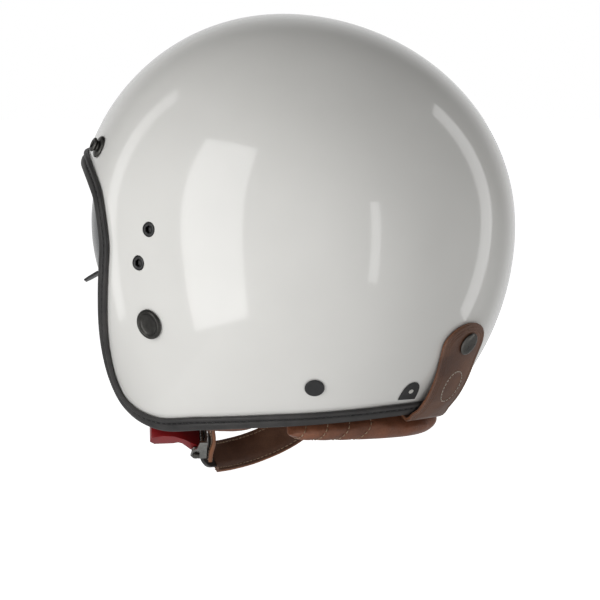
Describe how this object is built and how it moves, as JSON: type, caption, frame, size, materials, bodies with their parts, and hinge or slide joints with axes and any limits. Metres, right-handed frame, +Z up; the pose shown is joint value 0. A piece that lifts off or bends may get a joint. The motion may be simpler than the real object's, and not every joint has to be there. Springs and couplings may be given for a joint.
{
  "type": "open face motorcycle helmet",
  "caption": "Open face motorcycle helmet: glossy rounded shell with edge trim, padded lining, drop-down sun visor, buckled chin strap and leather goggle strap at the back.",
  "frame": {"origin": "centre of the head cavity, level with the widest part of the shell and under its crown", "axes": "+Z up towards the crown, -Y the way the wearer faces, +X the wearer's left"},
  "size_m": [0.2404, 0.2679, 0.277],
  "materials": {
    "shell_gloss": "gloss",
    "trim_rubber": "matte",
    "foam": "matte",
    "lining_fabric": "matte",
    "pad_leather": "satin",
    "strap_leather": "satin",
    "gunmetal": "satin",
    "dark_screw": "satin",
    "black_nylon": "satin",
    "smoked_lens": "gloss",
    "webbing": "matte",
    "buckle_steel": "satin",
    "red_lever": "satin"
  },
  "bodies": {
    "helmet": {"outer_shell": "shell_gloss", "edge_trim": "trim_rubber", "eps_liner": "foam", "crown_pad": "lining_fabric", "cheek_pad_left": "pad_leather", "cheek_pad_right": "pad_leather", "neck_roll": "pad_leather", "brow_snap_left": "gunmetal", "brow_snap_center": "gunmetal", "brow_snap_right": "gunmetal", "goggle_snap_stud": "gunmetal", "side_screw_upper_left": "dark_screw", "side_screw_upper_right": "dark_screw", "side_screw_lower_left": "dark_screw", "side_screw_lower_right": "dark_screw", "strap_rivet_front_left": "gunmetal", "strap_rivet_front_right": "gunmetal", "strap_rivet_rear_left": "black_nylon", "strap_rivet_rear_right": "black_nylon", "size_label": "black_nylon", "visor_base_left": "black_nylon", "visor_base_right": "black_nylon", "goggle_strap_root": "strap_leather", "strap_leg_front_left": "webbing", "strap_leg_front_right": "webbing", "strap_leg_rear_left": "webbing", "strap_leg_rear_right": "webbing", "chin_strap_left": "strap_leather", "chin_strap_right": "strap_leather", "buckle_housing": "buckle_steel", "buckle_pin": "buckle_steel", "lever_spring": "buckle_steel"},
    "sun_visor": {"visor_lens": "smoked_lens", "visor_tab": "black_nylon", "visor_arm_left": "black_nylon", "visor_arm_right": "black_nylon"},
    "goggle_flap": {"goggle_strap": "strap_leather", "goggle_snap_cap": "gunmetal"},
    "lever": {"buckle_lever": "red_lever"},
    "tongue": {"ratchet_tongue": "black_nylon"}
  },
  "joints": [
    {"name": "visor_hinge", "type": "hinge", "parent": "helmet", "child": "sun_visor", "pos_m": [0, -0.0115, 0.002], "axis": [-1, 0, 0], "range_deg": [0, 37]},
    {"name": "flap_fold", "type": "hinge", "parent": "helmet", "child": "goggle_flap", "pos_m": [0, 0.1022, -0.1091], "axis": [-1, 0, 0], "range_deg": [0, 100]},
    {"name": "lever_pin", "type": "hinge", "parent": "helmet", "child": "lever", "pos_m": [0.049, -0.03048, -0.12858], "axis": [0.471, 0.38, -0.7961], "range_deg": [0, 30], "stiffness_Nm_per_rad": 0.08, "springref_deg": -14.32},
    {"name": "tongue_slide", "type": "slide", "parent": "helmet", "child": "tongue", "axis": [0.6199, 0.4999, 0.6049], "range_m": [0, 0.006]}
  ]
}
